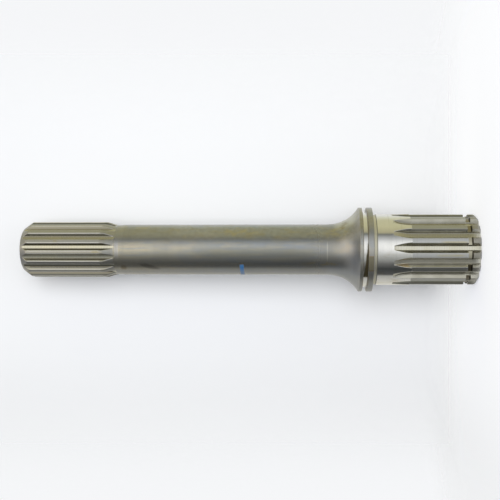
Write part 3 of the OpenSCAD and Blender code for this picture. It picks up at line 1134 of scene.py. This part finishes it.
print(f"card leans {degrees(card_lean):.2f} degrees, foot {card_foot_y:.1f} mm behind the axis")

# %% [markdown]
# The room.
# A polished cylinder shows the whole room round it as stripes. The room here is a plain studio: one wide
# soft light above the lens, a warm wall on one side, a dark side opposite and pale paper behind. It is
# painted in the world by the direction round the shaft's axis, in degrees from the front. Three brighter
# patches stand for lamps, which show in the small end, in the flare and in the large end.

# %% World
ROOM = [
    (-180, (0.76, 0.75, 0.70)),
    (-140, (0.71, 0.69, 0.61)),
    (-108, (0.57, 0.56, 0.53)),
    (-95, (0.45, 0.45, 0.42)),
    (-88, (0.10, 0.10, 0.10)),
    (-64, (0.055, 0.06, 0.06)),
    (-46, (0.17, 0.17, 0.165)),
    (-26, (0.45, 0.46, 0.44)),
    (-6, (0.79, 0.80, 0.79)),
    (12, (0.97, 0.98, 0.98)),
    (24, (0.85, 0.86, 0.87)),
    (40, (0.46, 0.47, 0.46)),
    (49, (0.20, 0.21, 0.19)),
    (57, (0.49, 0.455, 0.29)),
    (78, (0.62, 0.59, 0.365)),
    (110, (0.65, 0.625, 0.41)),
    (125, (0.77, 0.77, 0.60)),
    (145, (0.88, 0.89, 0.86)),
    (180, (0.76, 0.75, 0.70)),
]
ENDS_LOW, ENDS_HIGH = (0.33, 0.34, 0.36), (0.55, 0.53, 0.45)
END_LAMP, FLARE_LAMP, FRONT_LAMP = (1.5, 1.42, 1.2), (1.55, 1.40, 1.22), (1.16, 1.16, 1.14)
BACKGROUND = (0.915, 0.925, 0.94)


def studio_world():
    world = bpy.data.worlds.new("studio")
    world.use_nodes = True
    tree = world.node_tree
    tree.nodes.clear()
    wire = Wire(tree)
    way = wire.make("ShaderNodeTexCoord", {}, {}, "Generated")
    split = way.make("ShaderNodeSeparateXYZ", {}, {0: way}).socket.node
    x, y, z = (Wire(tree, socket) for socket in split.outputs)
    turn = x.math("ARCTAN2", x, -y) * degrees(1)
    stops = [(angle / 360 + 0.5, colour) for angle, colour in ROOM]
    room = wire.make("ShaderNodeValToRGB", {"stops": stops}, {0: turn * (1 / 360) + 0.5})
    ends = mix(rise(turn, -18, 18), ENDS_LOW, ENDS_HIGH)
    near = band(turn, -14, 18, 18) * rise(z, 0.04, 0.34) * (1 - rise(z, 0.5, 0.7))
    high = band(turn, -22, 46, 18) * rise(z, 0.45, 0.65)
    front = band(turn, -4, 22, 14) * rise(-z, 0.03, 0.12) * (1 - rise(-z, 0.82, 0.95))
    room = mix(rise(abs(z), 0.55, 0.95), room, ends)
    for mask, tone in ((near, END_LAMP), (high, FLARE_LAMP), (front, FRONT_LAMP)):
        room = mix(mask, room, tone)
    seen = wire.make("ShaderNodeLightPath", {}, {}, "Is Camera Ray")
    sky = wire.make("ShaderNodeBackground", {}, {"Color": mix(seen, room, BACKGROUND)})
    wire.make("ShaderNodeOutputWorld", {}, {"Surface": sky})
    return world


scene = bpy.context.scene
scene.world = studio_world()
scene.view_settings.view_transform = "Standard"
print(f"room with {len(ROOM)} stripes")

# %% [markdown]
# The key lamp.
# A wide soft lamp gives the paper its shadow. The steel mirrors the painted room, so the lamp itself is
# kept out of its reflections.

# %% Key lamp
def key_lamp(strength, turn, distance, height, width, length):
    """An area lamp at this turn from the front, aimed at the middle of the shaft."""
    light = bpy.data.lights.new("key lamp", "AREA")
    light.shape = "RECTANGLE"
    light.size, light.size_y, light.energy = width, length, strength
    lamp = bpy.data.objects.new("key lamp", light)
    spot = Vector((sin(turn) * distance, -cos(turn) * distance, height))
    aim = (Vector((0, 0, SHAFT_LEN * MM / 2)) - spot).to_track_quat("-Z", "Y")
    lamp.matrix_world = Matrix.Translation(spot) @ aim.to_matrix().to_4x4()
    lamp.visible_glossy = False
    scene.collection.objects.link(lamp)
    print(f"key lamp of {strength} W, {distance} m from the axis")


key_lamp(strength=10.4, turn=radians(11), distance=1.3, height=0.32, width=1.1, length=0.9)

# %% [markdown]
# The camera.
# The shaft lies across the picture with its small end on the left, so the camera is turned on its side:
# the picture's left is up along the shaft. Focal length, tilt and distance were found from the
# photographed sizes of the collar, the splines and the shank.

# %% Camera
PICTURE_PX, FOCAL_PX, AIM_PX, SENSOR_MM = 500, 772.8, 272.03, 36.0
TILT = radians(2.668)
DISTANCE, AIM_Z, SIDE_STEP = 0.7165, 0.185785, -0.0004

lens = bpy.data.cameras.new("camera")
lens.sensor_width = SENSOR_MM
lens.lens = FOCAL_PX / PICTURE_PX * SENSOR_MM
lens.shift_x = (PICTURE_PX / 2 - AIM_PX) / PICTURE_PX
camera = bpy.data.objects.new("camera", lens)
right = Vector((0, sin(TILT), -cos(TILT)))
up = Vector((1, 0, 0))
back = Vector((0, -cos(TILT), -sin(TILT)))
camera_place = Vector((SIDE_STEP, 0, AIM_Z)) + back * DISTANCE
camera_turn = Matrix((right, up, back)).transposed().to_4x4()
camera.matrix_world = Matrix.Translation(camera_place) @ camera_turn
scene.collection.objects.link(camera)
scene.camera = camera
print(f"lens {lens.lens:.1f} mm, shift {lens.shift_x:.4f}")
